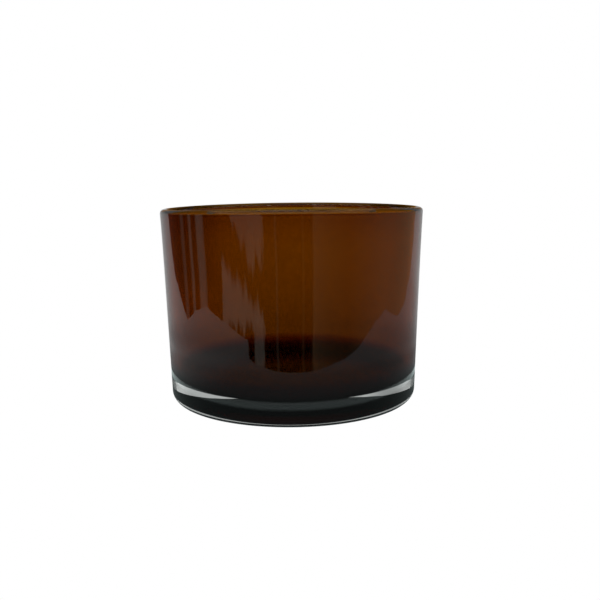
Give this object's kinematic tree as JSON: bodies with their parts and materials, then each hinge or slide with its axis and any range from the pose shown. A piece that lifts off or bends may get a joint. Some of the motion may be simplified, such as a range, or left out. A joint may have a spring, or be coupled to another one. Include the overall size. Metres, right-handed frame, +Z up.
{
  "type": "candle jar",
  "caption": "Low wide candle jar: clear glass tumbler with a slightly tapered wall, a round lip, a heavy clear base and a transparent amber lining inside.",
  "frame": {"origin": "centre of the foot, on the surface the jar stands on", "axes": "+Z up along the axis that the jar is turned about, towards its open top; +X and +Y are any two horizontal directions"},
  "size_m": [0.1014, 0.1014, 0.075],
  "materials": {
    "clear_glass": "clear polished glass with a fire-polished lip",
    "amber_lacquer": "transparent amber lacquer, glossy"
  },
  "bodies": {
    "root": {"clear_glass_body": "clear_glass", "amber_lining": "amber_lacquer"}
  },
  "joints": []
}
